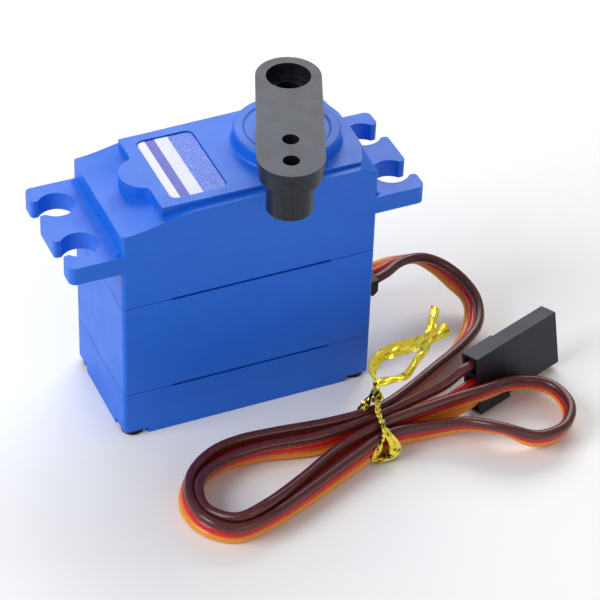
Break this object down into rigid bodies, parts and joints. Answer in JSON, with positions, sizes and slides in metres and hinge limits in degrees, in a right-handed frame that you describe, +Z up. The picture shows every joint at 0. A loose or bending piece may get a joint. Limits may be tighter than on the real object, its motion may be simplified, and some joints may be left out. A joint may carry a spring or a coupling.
{
  "type": "hobby servo motor",
  "caption": "Small hobby servo with a blue three-storey case, slotted mounting tabs, a black output arm with a drive post, and a tied three-core lead with a plug.",
  "frame": {"origin": "on the output shaft's axis, in the plane of the bottom cover's flat underside", "axes": "+Z up along the output shaft, +X along the case towards the output and lead end, +Y across the case; the arm at rest points to -Y and a little to -X"},
  "size_m": [0.059, 0.038, 0.0402],
  "materials": {
    "case_plastic": "fine-grained moulded nylon",
    "screw_steel": "black oxide",
    "label_print": "printed film",
    "board_laminate": "solder mask",
    "chip_epoxy": "moulded epoxy",
    "motor_steel": "drawn can",
    "motor_cap_plastic": "moulded",
    "contact_gold": "plated",
    "shaft_steel": "ground",
    "gear_brass": "cut teeth",
    "output_steel": "cut teeth",
    "bearing_steel": "ground",
    "pot_plastic": "moulded",
    "horn_plastic": "fine-grained moulded",
    "relief_rubber": "moulded",
    "brown_vinyl": "extruded",
    "red_vinyl": "extruded",
    "orange_vinyl": "extruded",
    "plug_plastic": "moulded",
    "tie_foil": "crumpled foil"
  },
  "bodies": {
    "case": {"bottom_cover": "case_plastic", "middle_case": "case_plastic", "upper_case": "case_plastic", "case_screws": "screw_steel", "top_label": "label_print", "circuit_board": "board_laminate", "board_chips": "chip_epoxy", "motor_can": "motor_steel", "motor_end_cap": "motor_cap_plastic", "motor_terminals": "contact_gold", "idler_pin": "shaft_steel", "bearing_outer_ring": "bearing_steel", "bearing_balls": "bearing_steel", "potentiometer_body": "pot_plastic", "potentiometer_pins": "contact_gold", "strain_relief": "relief_rubber", "wire_brown": "brown_vinyl", "wire_red": "red_vinyl", "wire_orange": "orange_vinyl", "connector_housing": "plug_plastic", "connector_contacts": "contact_gold", "twist_tie": "tie_foil"},
    "output": {"output_gear": "output_steel", "bearing_inner_ring": "bearing_steel", "potentiometer_shaft": "shaft_steel", "servo_horn": "horn_plastic"},
    "gear_one": {"first_gear": "gear_brass"},
    "gear_two": {"second_gear": "gear_brass"},
    "gear_three": {"third_gear": "gear_brass"},
    "rotor": {"motor_shaft": "shaft_steel", "motor_pinion": "gear_brass"}
  },
  "joints": [
    {"name": "output_turn", "type": "hinge", "parent": "case", "child": "output", "pos_m": [0, 0, 0.03], "axis": [0, 0, 1], "range_deg": [-68, 112]},
    {"name": "third_gear_turn", "type": "hinge", "parent": "case", "child": "gear_three", "pos_m": [-0.0076, 0, 0.025], "axis": [0, 0, 1], "range_deg": [-260, 260]},
    {"name": "second_gear_turn", "type": "hinge", "parent": "case", "child": "gear_two", "pos_m": [0, 0, 0.023], "axis": [0, 0, 1], "range_deg": [-720, 720]},
    {"name": "first_gear_turn", "type": "hinge", "parent": "case", "child": "gear_one", "pos_m": [-0.0076, 0, 0.021], "axis": [0, 0, 1], "range_deg": [-2000, 2000]},
    {"name": "rotor_turn", "type": "hinge", "parent": "case", "child": "rotor", "pos_m": [-0.0152, 0, 0.02], "axis": [0, 0, 1], "range_deg": [-5400, 5400]}
  ],
  "couplings": [
    {"joint": "third_gear_turn", "follows": "output_turn", "ratio": -2.1667},
    {"joint": "second_gear_turn", "follows": "output_turn", "ratio": 6.0667},
    {"joint": "first_gear_turn", "follows": "output_turn", "ratio": -16.987},
    {"joint": "rotor_turn", "follows": "output_turn", "ratio": 47.563}
  ]
}
